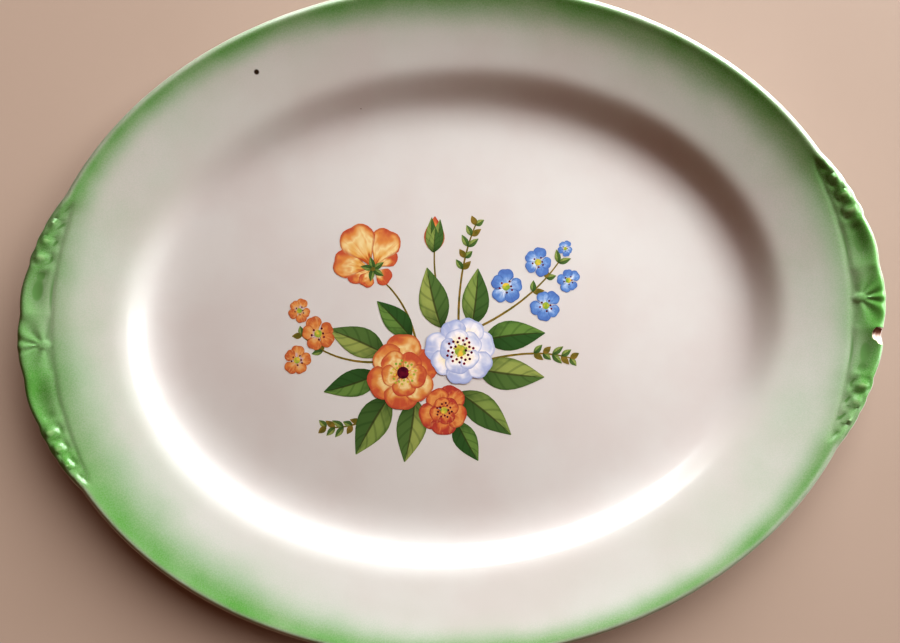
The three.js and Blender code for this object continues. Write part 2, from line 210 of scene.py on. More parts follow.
# Rings of the skin: insets under the back, degrees round the lip's nose, insets over the rim, and shares of
# the shoulder, the verge and its foot
BACK_RINGS = (WELL_INSET - 3, VERGE_INSET + 2, SHOULDER_INSET, 16, 7)
NOSE_RINGS = (-75, -25, 25, 75)
RIM_RINGS = (4.2, 6.0, 7.8, 9.6, 12.0, 17.0, 23.0, RIM_WIDTH - 2)
SHOULDER_RINGS = (0.25, 0.65)
VERGE_RINGS = (0.0, 0.35, 0.7)
VERGE_FOOT_RINGS = (0.1, 0.5)


def smooth(share):
    held = np.clip(share, 0.0, 1.0)
    return held * held * (3 - 2 * held)


# Section of the platter


def face_height(inset):
    """Height of the glazed face at a distance in from the oval's edge."""
    if inset <= FLARE_WIDTH:
        return RIM_TOP + arc_rise(RIM_ANGLE, FLARE_RADIUS, FLARE_WIDTH - inset)
    if inset <= RIM_WIDTH:
        return SHOULDER_TOP + math.tan(RIM_ANGLE) * (RIM_WIDTH - inset)
    if inset <= SHOULDER_INSET:
        return VERGE_TOP + arc_rise(VERGE_ANGLE, -SHOULDER_RADIUS, SHOULDER_INSET - inset)
    if inset <= VERGE_INSET:
        return VERGE_FOOT_TOP + arc_rise(VERGE_FOOT_ANGLE, VERGE_RADIUS, VERGE_INSET - inset)
    return WELL_HEIGHT + arc_rise(0, VERGE_FOOT_RADIUS, max(WELL_INSET - inset, 0))


def back_height(inset):
    share = min(inset / RIM_WIDTH, 1.0)
    return face_height(inset) - RIM_EDGE_THICKNESS - (WELL_THICKNESS - RIM_EDGE_THICKNESS) * share


def lip_crest():
    """Height of the rolled lip's top."""
    return face_height(LIP_BEAD_WIDTH / 2) + LIP_BEAD_HEIGHT


def oval(inset, height):
    """A ring of the section as its two half axes and its height."""
    return HALF_LENGTH - inset, HALF_WIDTH - inset, height


def level_rings(inset, height):
    """Rings that close a level middle."""
    half_length, half_width, _ = oval(inset, height)
    return [(half_length * share, half_width * share, height) for share in (1.0, MIDDLE_SHARE)]


def glazed_rings():
    """Rings from the foot's outer flank, out under the back, round the lip and over the face to the well."""
    rings = [oval(FOOT_OUTER_INSET - BARE_FLANK_WIDTH, BARE_FOOT_HEIGHT)]
    rings.append(oval(WELL_INSET + FOOT_STEP, FOOT_HEIGHT))
    for inset in BACK_RINGS:
        rings.append(oval(inset, back_height(inset)))
    nose_inset = LIP_BEAD_WIDTH / 2
    middle = (lip_crest() + back_height(nose_inset)) / 2
    half = (lip_crest() - back_height(nose_inset)) / 2
    for degrees in NOSE_RINGS:
        angle = math.radians(degrees)
        rings.append(oval(nose_inset * (1 - math.cos(angle)), middle + half * math.sin(angle)))
    insets = list(RIM_RINGS)
    insets += [RIM_WIDTH + SHOULDER_WIDTH * share for share in SHOULDER_RINGS]
    insets += [SHOULDER_INSET + VERGE_WIDTH * share for share in VERGE_RINGS]
    insets += [VERGE_INSET + VERGE_FOOT_WIDTH * share for share in VERGE_FOOT_RINGS]
    rings += [oval(inset, face_height(inset)) for inset in insets]
    return rings + level_rings(WELL_INSET + LEVEL_RUN, WELL_HEIGHT)


# Mesh making


def select_only(piece):
    bpy.ops.object.select_all(action="DESELECT")
    piece.select_set(True)
    bpy.context.view_layer.objects.active = piece


def copied(piece, name):
    """A copy of a piece with its own mesh."""
    twin = piece.copy()
    twin.data = piece.data.copy()
    twin.name = name
    bpy.context.collection.objects.link(twin)
    return twin


def apply_modifier(piece, kind, **settings):
    select_only(piece)
    modifier = piece.modifiers.new(kind.title(), kind)
    for key, value in settings.items():
        setattr(modifier, key, value)
    bpy.ops.object.modifier_apply(modifier=modifier.name)


def points_of(mesh):
    flat = np.empty(len(mesh.vertices) * 3)
    mesh.vertices.foreach_get("co", flat)
    return flat.reshape(-1, 3) / MM


def move_points(mesh, points):
    mesh.vertices.foreach_set("co", (points * MM).ravel())
    mesh.update()


def normals_of(mesh):
    flat = np.empty(len(mesh.vertices) * 3)
    mesh.vertex_normals.foreach_get("vector", flat)
    return flat.reshape(-1, 3)


def store(mesh, name, values):
    """Keeps a number for each point of a mesh, for its material to read."""
    layer = mesh.attributes.get(name) or mesh.attributes.new(name, "FLOAT", "POINT")
    layer.data.foreach_set("value", np.ascontiguousarray(values, dtype=np.float32))


def stored(mesh, name):
    values = np.empty(len(mesh.vertices), dtype=np.float32)
    mesh.attributes[name].data.foreach_get("value", values)
    return values


def select_points(piece, chosen):
    """Goes into edit mode with only the chosen points selected."""
    select_only(piece)
    bpy.ops.object.mode_set(mode="EDIT")
    bpy.ops.mesh.select_mode(type="VERT")
    bpy.ops.mesh.select_all(action="DESELECT")
    bpy.ops.object.mode_set(mode="OBJECT")
    piece.data.vertices.foreach_set("select", chosen)
    bpy.ops.object.mode_set(mode="EDIT")


def delete_points(piece, doomed):
    select_points(piece, doomed)
    bpy.ops.mesh.delete(type="VERT")
    bpy.ops.object.mode_set(mode="OBJECT")


def draw_out(from_ring, to_ring):
    """Extrudes the selected ring of edges and stretches it to the next oval of the section."""
    bpy.ops.mesh.extrude_region_move(
        TRANSFORM_OT_translate={"value": (0, 0, (to_ring[2] - from_ring[2]) * MM)}
    )
    stretch = (to_ring[0] / from_ring[0], to_ring[1] / from_ring[1], 1)
    bpy.ops.transform.resize(value=stretch, center_override=(0, 0, 0))


def close_middle():
    """Closes the selected ring of edges with a fan, and turns every face outwards."""
    bpy.ops.mesh.extrude_region_move()
    bpy.ops.mesh.merge(type="CENTER")
    bpy.ops.mesh.select_all(action="SELECT")
    bpy.ops.mesh.normals_make_consistent(inside=False)


def crowd_columns(mesh):
    """Moves a circle's points along it, so that they lie closest where the handles will be."""
    points = points_of(mesh)
    radius = np.hypot(points[:, 0], points[:, 1])
    turn = np.arctan2(points[:, 1], points[:, 0])
    turn -= CROWDING * np.sin(2 * turn)
    points[:, 0] = radius * np.cos(turn)
    points[:, 1] = radius * np.sin(turn)
    move_points(mesh, points)


def oval_skin(name, rings):
    """A skin drawn out ring by ring from a circle, and closed at the middle of its last ring."""
    bpy.ops.object.select_all(action="DESELECT")
    bpy.ops.mesh.primitive_circle_add(vertices=COLUMNS, radius=MM, fill_type="NOTHING")
    skin = bpy.context.object
    skin.name = name
    crowd_columns(skin.data)
    bpy.ops.object.mode_set(mode="EDIT")
    bpy.ops.mesh.select_all(action="SELECT")
    half_length, half_width, height = rings[0]
    bpy.ops.transform.resize(value=(half_length, half_width, 1), center_override=(0, 0, 0))
    bpy.ops.transform.translate(value=(0, 0, height * MM))
    for before, after in zip(rings, rings[1:]):
        draw_out(before, after)
    close_middle()
    bpy.ops.object.mode_set(mode="OBJECT")
    apply_modifier(skin, "SUBSURF", levels=2, render_levels=2)
    return skin


# Handle tabs


def plan_place(points):
    """How far each point lies in from the oval's edge, found by halving, and its turn round the oval."""
    x = np.abs(points[:, 0])
    y = np.abs(points[:, 1])
    low = np.full(len(points), -1.0)
    high = np.full(len(points), HALF_WIDTH - 1.0)
    for _ in range(INSET_HALVINGS):
        inset = (low + high) / 2
        outside = (x / (HALF_LENGTH - inset)) ** 2 + (y / (HALF_WIDTH - inset)) ** 2 > 1
        high = np.where(outside, inset, high)
        low = np.where(outside, low, inset)
    turn = np.arctan2(points[:, 1] / (HALF_WIDTH - inset), points[:, 0] / (HALF_LENGTH - inset))
    return inset, turn


def lobe_bulge(along):
    """Share of a lobe's full bulge along the handle: none at its two ends, full at its middle."""
    place = np.abs(along)
    lobe = np.searchsorted(LOBE_EDGES, place)
    ends = np.append(LOBE_EDGES, HANDLE_HALF_LENGTH + 1.0)
    starts = np.concatenate([[-SHELL_HALF_LENGTH], ends[:-1]])
    share = (place - starts[lobe]) / (ends[lobe] - starts[lobe])
    return np.where(place >= HANDLE_HALF_LENGTH, 0.0, np.sin(np.pi * np.clip(share, 0, 1)))


def handle_fullness(along):
    """How full a tab stands along the handle: full at its middle, nothing at its ends."""
    share = np.clip(np.abs(along) / HANDLE_HALF_LENGTH, 0, 1)
    return (1 - share * share) ** HANDLE_EASE


def handle_overhang(along):
    return handle_fullness(along) * (HANDLE_REACH - SCALLOP_DEPTH * (1 - lobe_bulge(along)))


def groove_inset(along):
    """Where the groove runs that parts the moulded tab from the plain rim."""
    return GROOVE_END_INSET + GROOVE_BULGE * np.sqrt(handle_fullness(along))


def squared_spread(along, inset, middle, radius):
    """Squared distance in radii from the middle of a round feature, on either half of the handle."""
    return ((np.abs(along) - middle[0]) / radius) ** 2 + ((inset - middle[1]) / radius) ** 2


def bead_relief(along, inset):
    """A row of beads that shrink towards the handle's end, each in a sunk ring."""
    height = np.zeros_like(along)
    for bead in range(BEAD_COUNT):
        middle = SHELL_HALF_LENGTH + SCOOP_LENGTH + BEAD_LENGTH * (bead + 0.5)
        reach = float(groove_inset(np.array(middle)))
        radius = BEAD_RADIUS - BEAD_SHRINKING * bead
        spread = np.hypot(np.abs(along) - middle, inset - reach / 2)
        ring = (spread - radius - BEAD_RING_GAP) / BEAD_RING_SPREAD
        height += BEAD_HEIGHT * np.clip(1 - (spread / radius) ** 2, 0, None) ** BEAD_FULLNESS
        height -= BEAD_RING_DEPTH * np.exp(-(ring**2))
    return height


def scoop_relief(along, inset):
    """A long shallow hollow beside the shell, with a pit at its outer end."""
    run = np.clip((np.abs(along) - SHELL_HALF_LENGTH) / SCOOP_LENGTH, 0, 1)
    depth = inset / groove_inset(along)
    hollow = np.sin(np.pi * run) * np.exp(-(((depth - SCOOP_MIDDLE) / SCOOP_SPREAD) ** 2))
    pit = np.exp(-2 * squared_spread(along, inset, PIT_MIDDLE, PIT_RADIUS))
    return -SCOOP_DEPTH * hollow - PIT_DEPTH * pit


def shell_relief(along, inset):
    """Ribs that fan out from a boss at the inner side of the handle's middle."""
    outward = BOSS_MIDDLE[1] - inset
    shown = smooth((SHELL_HALF_LENGTH - np.abs(along)) / SHELL_END_FADE)
    shown *= smooth((np.hypot(along, outward) - RIB_START) / RIB_START_FADE)
    shown *= smooth((groove_inset(along) - inset) / RIB_GROOVE_FADE)
    ribs = RIB_HEIGHT * np.cos(RIBS_PER_TURN * np.arctan2(along, outward)) - RIB_SINK
    boss = np.sqrt(np.clip(1 - squared_spread(along, inset, BOSS_MIDDLE, BOSS_RADIUS), 0, None))
    return shown * ribs + BOSS_HEIGHT * boss


def relief_height(along, inset):
    """Moulded relief of a handle tab over the plain rim: it tilts up from its groove to the lip."""
    line = groove_inset(along)
    ends = smooth((HANDLE_HALF_LENGTH - np.abs(along)) / RELIEF_END_FADE)
    groove = GROOVE_DEPTH * np.exp(-(((inset - line) / GROOVE_SPREAD) ** 2))
    tilt = TAB_TILT * smooth((line - inset) / line)
    height = tilt - groove + bead_relief(along, inset) + scoop_relief(along, inset)
    return ends * (height + shell_relief(along, inset))


# Sprayed green


def green_reach(turn):
    """Distance from the edge where the sprayed green is half gone: wider where passes of the gun met."""
    reach = GREEN_REACH
    for middle, spread, steepness, added in GUN_PASSES:
        off = (np.degrees(turn) - middle + 180) % 360 - 180
        reach = reach + added * np.exp(-((off / spread) ** steepness))
    return reach


def sprayed_share(inset, turn):
    """Share of the cream that the green hides: the band's fade, and the mist that drifted further in."""
    share = inset / green_reach(turn)
    fade = sum(cover * smooth((end - share) / run) for cover, end, run in GREEN_FADES)
    band = fade * smooth((BAND_WIDTH - inset) / BAND_EDGE_FADE)
    densest_mist = MIST_COVER + MIST_COVER_AT_HANDLES * np.cos(turn) ** 2
    mist = densest_mist * smooth((MIST_WIDTH - inset) / MIST_FADE)
    return 1 - (1 - band) * (1 - mist)


def lip_wear(along, inset):
    """Share of the green that is worn off the lip's crest, all round but on the handles."""
    crest = np.exp(-(((inset - LIP_WEAR_INSET) / LIP_WEAR_SPREAD) ** 2))
    return LIP_WEAR * crest * (1 - np.sqrt(handle_fullness(along)))


# Moulded skin


def mould_handles(skin):
    """Pushes the tabs out of the oval and raises their relief, and notes what the materials need."""
    mesh = skin.data
    points = points_of(mesh)
    inset, turn = plan_place(points)
    along = HALF_WIDTH * np.sin(turn)
    facing = normals_of(mesh)[:, 2]
    relief = relief_height(along, inset) * smooth(facing / RELIEF_FACING) * (inset < HANDLE_BLEND)
    outward = np.stack([HALF_WIDTH * np.cos(turn), HALF_LENGTH * np.sin(turn)], axis=1)
    outward /= np.linalg.norm(outward, axis=1)[:, None]
    shift = handle_overhang(along) * (1 - smooth(inset / HANDLE_BLEND))
    points[:, :2] += outward * shift[:, None]
    points[:, 2] += relief
    move_points(mesh, points)
    store(mesh, "inset", inset)
    store(mesh, "facing", facing)
    store(mesh, "relief", relief)
    store(mesh, "sprayed", sprayed_share(inset, turn) * (1 - lip_wear(along, inset)))


# Chip


def chip_middle():
    """Middle of the ball that the chip is broken out with, just over the handle's lip."""
    turn = math.asin(CHIP_ALONG / HALF_WIDTH)
    edge = HALF_LENGTH * math.cos(turn) + float(handle_overhang(np.array(CHIP_ALONG)))
    return np.array([edge, CHIP_ALONG, lip_crest() + CHIP_RAISE])


def chip_share(points):
    """Each point's distance from the chip's middle, as a share of the broken surface's uneven radius."""
    offset = points - chip_middle()
    share = np.linalg.norm(offset / np.array([CHIP_REACH, CHIP_HALF_LENGTH, CHIP_DEPTH]), axis=1)
    for index in np.nonzero(share < CHIP_LUMPY_REACH)[0]:
        lump = sum(weight * noise.noise(Vector(points[index] * pitch)) for pitch, weight in CHIP_LUMPS)
        share[index] /= 1 + CHIP_UNEVENNESS * lump
    return share


def refine_chip(skin):
    """Cuts the skin finer about the chip, so that the break runs ragged in small steps."""
    select_points(skin, chip_share(points_of(skin.data)) < CHIP_FINE_REACH)
    bpy.ops.mesh.subdivide(number_cuts=CHIP_CUTS)
    bpy.ops.object.mode_set(mode="OBJECT")


def press_chip(clay):
    """Moves the clay's points that lie inside the chip out to its broken surface."""
    mesh = clay.data
    points = points_of(mesh)
    share = chip_share(points)
    inside = share < 1
    middle = chip_middle()
    points[inside] = middle + (points[inside] - middle) / share[inside, None]
    move_points(mesh, points)
    store(mesh, "broken", smooth((CHIP_COLOUR_REACH - share) / CHIP_COLOUR_FADE))


# Clay, glaze and green band


def swell(piece, distance):
    """Moves every point of a piece off along its normal."""
    mesh = piece.data
    move_points(mesh, points_of(mesh) + normals_of(mesh) * distance)


def make_clay_body(skin):
    """The clay under the glaze: its skin is closed below by the bare foot ring and the recess in it."""
    clay = copied(skin, "clay_body_surface")
    swell(clay, -(GLAZE_THICKNESS + BOND_GAP))
    recess_height = FOOT_HEIGHT + GLAZE_THICKNESS + BOND_GAP
    rings = [
        oval(FOOT_OUTER_INSET - BARE_FLANK_WIDTH, BARE_FOOT_HEIGHT),
        oval(FOOT_OUTER_INSET - FOOT_EDGE_FLARE, FOOT_EDGE_RISE),
        oval(FOOT_OUTER_INSET + FOOT_EDGE_RUN, 0.0),
        oval(FOOT_INNER_INSET - FOOT_EDGE_RUN, 0.0),
        oval(FOOT_INNER_INSET + FOOT_EDGE_FLARE, FOOT_EDGE_RISE),
        oval(FOOT_INNER_INSET + BARE_FLANK_WIDTH, BARE_FOOT_HEIGHT),
        oval(FOOT_INNER_INSET + FOOT_FLANK_WIDTH, recess_height),
    ]
    rings += level_rings(FOOT_INNER_INSET + RECESS_LEVEL_RUN, recess_height)
    select_only(clay)
    bpy.ops.object.mode_set(mode="EDIT")
    bpy.ops.mesh.select_mode(type="EDGE")
    bpy.ops.mesh.select_all(action="DESELECT")
    bpy.ops.mesh.select_non_manifold(extend=False)
    bpy.ops.transform.resize(value=(1, 1, 0), center_override=(0, 0, BARE_FOOT_HEIGHT * MM))
    for before, after in zip(rings, rings[1:]):
        draw_out(before, after)
    close_middle()
    bpy.ops.object.mode_set(mode="OBJECT")
    press_chip(clay)
    return clay


def make_glaze_coat(skin):
    glaze = copied(skin, "glaze_coat_surface")
    delete_points(glaze, chip_share(points_of(glaze.data)) < 1)
    apply_modifier(glaze, "SOLIDIFY", thickness=GLAZE_THICKNESS * MM, offset=-1.0)
    return glaze


def make_recess_glaze():
    """The glaze inside the foot ring, from above the bare band up its flank and over the recess."""
    flank_end = FOOT_INNER_INSET + FOOT_FLANK_WIDTH
    curve_start = FOOT_INNER_INSET + FOOT_FLANK_WIDTH * RECESS_CURVE_SHARE
    rings = [
        oval(FOOT_INNER_INSET + BARE_FLANK_WIDTH, BARE_FOOT_HEIGHT),
        oval(curve_start, FOOT_HEIGHT * RECESS_CURVE_SHARE),
        oval(flank_end + RECESS_CURVE_RUN, FOOT_HEIGHT),
    ]
    rings += level_rings(flank_end + LEVEL_RUN, FOOT_HEIGHT)
    recess = oval_skin("foot_recess_glaze_surface", rings)
    apply_modifier(recess, "SOLIDIFY", thickness=GLAZE_THICKNESS * MM, offset=-1.0)
    return recess


def make_rim_band(skin):
    """The sprayed colour on the face of the rim, thinning to nothing inwards."""
    band = copied(skin, "green_rim_band_surface")
    mesh = band.data
    away = (stored(mesh, "inset") > BAND_WIDTH) | (stored(mesh, "facing") < BAND_FACING)
    delete_points(band, away | (chip_share(points_of(mesh)) < 1))
    mesh = band.data
    thinning = smooth((1 - stored(mesh, "inset") / BAND_WIDTH) * BAND_THINNING)
    height = BAND_THIN_EDGE + (BAND_THICKNESS + BOND_GAP - BAND_THIN_EDGE) * thinning
    move_points(mesh, points_of(mesh) + normals_of(mesh) * height[:, None])
    apply_modifier(band, "SOLIDIFY", thickness=BAND_THIN_EDGE / 2 * MM, offset=-1.0)
    return band


# Materials


def linear(hex_colour):
    """An sRGB hex colour as linear numbers with full alpha."""
    shares = [int(hex_colour[k : k + 2], 16) / 255 for k in (1, 3, 5)]
    return tuple(c / 12.92 if c <= 0.04045 else ((c + 0.055) / 1.055) ** 2.4 for c in shares) + (1.0,)


def add(tree, kind, settings, *inputs, **named):
    """Adds a shader node with its settings, and fills or links its inputs in their order or by name."""
    node = tree.nodes.new("ShaderNode" + kind)
    for key, value in settings.items():
        setattr(node, key, value)
    in_use = [socket for socket in node.inputs if socket.enabled]
    filled = list(zip(in_use, inputs))
    filled += [(node.inputs[key.replace("_", " ")], value) for key, value in named.items()]
    for socket, value in filled:
        if isinstance(value, bpy.types.NodeSocket):
            tree.links.new(value, socket)
        else:
            socket.default_value = value
    return [socket for socket in node.outputs if socket.enabled]


# Settings that many nodes share
PLAIN = {}
EASED = {"interpolation_type": "SMOOTHSTEP"}
COLOURS = {"data_type": "RGBA"}
PLUS = {"operation": "ADD"}
TIMES = {"operation": "MULTIPLY"}
TIMES_PLUS = {"operation": "MULTIPLY_ADD"}
LARGER = {"operation": "MAXIMUM"}

# Outputs of the Texture Coordinate and Attribute nodes
OBJECT = 3
FACTOR = 2

# Fired lead-type glaze, and enamel colours that melted into it
GLAZE_IOR = 1.58
GLAZE_ROUGHNESS = 0.15
ENAMEL_ROUGHNESS = 0.12
BISCUIT_IOR = 1.5
BISCUIT_ROUGHNESS = 0.85


def new_material(name, roughness, ior):
    material = bpy.data.materials.new(name)
    material.use_nodes = True
    tree = material.node_tree
    tree.nodes.clear()
    shader = tree.nodes.new("ShaderNodeBsdfPrincipled")
    shader.inputs["Roughness"].default_value = roughness
    shader.inputs["IOR"].default_value = ior
    add(tree, "OutputMaterial", PLAIN, Surface=shader.outputs["BSDF"])
    return material, tree, shader.inputs


def per_mm(length):
    """Noise scale that gives features of about a length in millimetres on Object coordinates."""
    return 1 / (length * MM)


def glaze_ripple(tree, place):
    """Fired glaze is never quite level: a slow ripple and a faint orange peel bend its reflections."""
    slow = add(tree, "TexNoise", PLAIN, place, per_mm(16), 1.0)[0]
    peel = add(tree, "TexNoise", PLAIN, place, per_mm(2.4), 1.0)[0]
    dimpled = add(tree, "Bump", PLAIN, Strength=0.5, Distance=0.02 * MM, Height=peel)[0]
    return add(tree, "Bump", PLAIN, Strength=0.6, Distance=0.12 * MM, Height=slow, Normal=dimpled)[0]


def cream_colour(tree, place):
    """Cream over buff clay: warm and cool clouds, and a few tiny iron specks."""
    cloud = add(tree, "TexNoise", PLAIN, place, per_mm(38), 3.0)[0]
    warmth = add(tree, "MapRange", EASED, cloud, 0.35, 0.7)[0]
    cloudy = add(tree, "Mix", COLOURS, warmth, linear("#d6d4d0"), linear("#d3ceca"))[0]
    distance, shade, _ = add(tree, "TexVoronoi", PLAIN, place, per_mm(15))
    near = add(tree, "MapRange", EASED, distance, 0.012, 0.022, 1.0, 0.0)[0]
    chance = add(tree, "SeparateColor", PLAIN, shade)[0]
    rare = add(tree, "MapRange", EASED, chance, 0.7, 0.72)[0]
    speck = add(tree, "Math", TIMES, near, rare)[0]
    return add(tree, "Mix", COLOURS, speck, cloudy, linear("#8a735e"))[0]


# Spot where iron bled through the glaze
IRON_SPOT = (-71.5, 103.4)
IRON_SPOT_RADIUS = 1.3


def green_cover(tree, place):
    """How much of the cream the spray hides: grainy, uneven, pooled in hollows, gone at the lip's edge."""
    sprayed = add(tree, "Attribute", {"attribute_name": "sprayed"})[FACTOR]
    relief = add(tree, "Attribute", {"attribute_name": "relief"})[FACTOR]
    facing = add(tree, "Attribute", {"attribute_name": "facing"})[FACTOR]
    drift = add(tree, "TexNoise", PLAIN, place, per_mm(26), 2.0)[0]
    grain = add(tree, "TexNoise", PLAIN, place, per_mm(0.5), 2.0)[0]
    uneven = add(tree, "MapRange", EASED, drift, 0.25, 0.75, -0.1, 0.1)[0]
    spatter = add(tree, "MapRange", EASED, grain, 0.3, 0.7, -0.06, 0.06)[0]
    stray = add(tree, "Math", PLUS, uneven, spatter)[0]
    dense = add(tree, "MapRange", EASED, sprayed, 0.0, 0.3)[0]
    grainy = add(tree, "Math", TIMES_PLUS, stray, dense, sprayed)[0]
    pooled = add(tree, "MapRange", EASED, relief, -0.05, -0.4, 0.0, 0.9)[0]
    cover = add(tree, "Math", LARGER, grainy, pooled)[0]
    bare_edge = add(tree, "MapRange", EASED, facing, 0.45, 0.8)[0]
    return add(tree, "Math", {"operation": "MULTIPLY", "use_clamp": True}, cover, bare_edge)[0]


def green_colour(tree):
    """Copper green: stronger towards the lip, darker in the hollows of the relief and paler on its crests."""
    sprayed = add(tree, "Attribute", {"attribute_name": "sprayed"})[FACTOR]
    relief = add(tree, "Attribute", {"attribute_name": "relief"})[FACTOR]
    strength = add(tree, "MapRange", EASED, sprayed, 0.1, 0.9)[0]
    plain = add(tree, "Mix", COLOURS, strength, linear("#8ab888"), linear("#66a052"))[0]
    # Darker in the relief's hollows: green pooled there, and deepened further as painted shade
    hollow = add(tree, "MapRange", EASED, relief, 0.05, -0.5, 0.0, 0.8)[0]
    shaded = add(tree, "Mix", COLOURS, hollow, plain, linear("#4f8438"))[0]
    # Paler on the crests: green worn thin there, and lightened further as a painted highlight
    crest = add(tree, "MapRange", EASED, relief, 0.4, 0.8, 0.0, 0.4)[0]
    return add(tree, "Mix", COLOURS, crest, shaded, linear("#b4cf9c"))[0]


def iron_spot(tree, place):
    """Share of a dark, soft-edged spot that iron in the clay left."""
    offset = (-IRON_SPOT[0] * MM, -IRON_SPOT[1] * MM, 0.0)
    moved = add(tree, "VectorMath", PLUS, place, offset)[0]
    level = add(tree, "VectorMath", TIMES, moved, (1.0, 1.0, 0.0))[0]
    away = add(tree, "VectorMath", {"operation": "LENGTH"}, level)[0]
    return add(tree, "MapRange", EASED, away, IRON_SPOT_RADIUS * 0.5 * MM, IRON_SPOT_RADIUS * MM, 1.0, 0.0)[0]


def sprayed_colour(tree, place):
    cream = cream_colour(tree, place)
    return add(tree, "Mix", COLOURS, green_cover(tree, place), cream, green_colour(tree))[0]


def cream_glaze():
    """Cream lead-type glaze, dipped and fired glossy, with the last of the overspray on it."""
    material, tree, shader = new_material("cream_lead_glaze", GLAZE_ROUGHNESS, GLAZE_IOR)
    place = add(tree, "TexCoord", PLAIN)[OBJECT]
    tree.links.new(sprayed_colour(tree, place), shader["Base Color"])
    tree.links.new(glaze_ripple(tree, place), shader["Normal"])
    return material


def sprayed_green():
    """Copper green sprayed on the rim under the gloss of the cream glaze."""
    material, tree, shader = new_material("sprayed_copper_green", GLAZE_ROUGHNESS, GLAZE_IOR)
    place = add(tree, "TexCoord", PLAIN)[OBJECT]
    rim = sprayed_colour(tree, place)
    spotted = add(tree, "Mix", COLOURS, iron_spot(tree, place), rim, linear("#3a2c20"))[0]
    tree.links.new(spotted, shader["Base Color"])
    tree.links.new(glaze_ripple(tree, place), shader["Normal"])
    return material


def biscuit_clay():
    """Buff earthenware without glaze, matt and granular; the chip is patchy brown, darker towards +Y."""
    material, tree, shader = new_material("earthenware_biscuit", BISCUIT_ROUGHNESS, BISCUIT_IOR)
    place = add(tree, "TexCoord", PLAIN)[OBJECT]
    grain = add(tree, "TexNoise", PLAIN, place, per_mm(0.7), 4.0)[0]
    plain = add(tree, "Mix", COLOURS, grain, linear("#d9c7b0"), linear("#efe3d3"))[0]
    # Patchy brown on the chip's broken face, darker towards its +Y side
    patchy = add(tree, "TexNoise", PLAIN, place, per_mm(5), 2.0)[0]
    along = add(tree, "SeparateXYZ", PLAIN, place)[1]
    upper = add(tree, "MapRange", EASED, along, (CHIP_ALONG - 0.5) * MM, (CHIP_ALONG + 3) * MM, 0.0, 0.5)[0]
    brown_patches = add(tree, "Math", PLUS, patchy, upper)[0]
    brown_share = add(tree, "MapRange", EASED, brown_patches, 0.55, 0.95)[0]
    chip_colour = add(tree, "Mix", COLOURS, brown_share, linear("#efdccf"), linear("#7a4a30"))[0]
    broken = add(tree, "Attribute", {"attribute_name": "broken"})[FACTOR]
    colour = add(tree, "Mix", COLOURS, broken, plain, chip_colour)[0]
    tree.links.new(colour, shader["Base Color"])
    gritty = add(tree, "Bump", PLAIN, Strength=0.7, Distance=0.1 * MM, Height=grain)[0]
    tree.links.new(gritty, shader["Normal"])
    return material


def patch_place(tree):
    """Places on a printed patch: across and along from 0 to 1, and the share off its middle line."""
    spot = add(tree, "UVMap", PLAIN)[0]
    across, along, _ = add(tree, "SeparateXYZ", PLAIN, spot)
    centred = add(tree, "Math", TIMES_PLUS, across, 2.0, -1.0)[0]
    off_middle = add(tree, "Math", {"operation": "ABSOLUTE"}, centred)[0]
    return spot, across, along, off_middle


def petal_enamel(name, stops, streak, outline):
    """Transfer-printed petal: colour washed from base to tip, streaked along it, with a soft drawn edge."""
    material, tree, shader = new_material(name, ENAMEL_ROUGHNESS, GLAZE_IOR)
    spot, _, along, off_middle = patch_place(tree)
    tone = add(tree, "Attribute", {"attribute_name": "tone"})[FACTOR]
    own_place = add(tree, "VectorMath", TIMES_PLUS, tone, (9.0, 9.0, 9.0), spot)[0]
    drawn_long = add(tree, "VectorMath", TIMES, own_place, (7.0, 1.2, 1.0))[0]
    cloud = add(tree, "TexNoise", PLAIN, own_place, 2.2, 2.0)[0]
    fibre = add(tree, "TexNoise", PLAIN, drawn_long, 1.6, 3.0)[0]
    push = add(tree, "MapRange", EASED, cloud, 0.3, 0.7, -0.4, 0.04)[0]
    toned = add(tree, "Math", TIMES_PLUS, tone, 0.36, push)[0]
    washed = add(tree, "Math", PLUS, along, toned)[0]
    wash = add(tree, "ValToRGB", PLAIN, washed)[0]
    marks = wash.node.color_ramp.elements
    for position, _ in stops[2:]:
        marks.new(position)
    for mark, (position, colour) in zip(marks, stops):
        mark.position = position
        mark.color = linear(colour)
    streaks = add(tree, "MapRange", EASED, fibre, 0.5, 0.72, 0.0, 0.55)[0]
    streaked = add(tree, "Mix", COLOURS, streaks, wash, linear(streak))[0]
    side = add(tree, "MapRange", EASED, off_middle, 0.72, 1.0)[0]
    tip = add(tree, "MapRange", EASED, along, 0.86, 1.0)[0]
    border = add(tree, "Math", LARGER, side, tip)[0]
    line = add(tree, "MapRange", EASED, border, 0.25, 1.0, 0.0, 0.6)[0]
    edged = add(tree, "Mix", COLOURS, line, streaked, linear(outline))[0]
    tree.links.new(edged, shader["Base Color"])
    return material


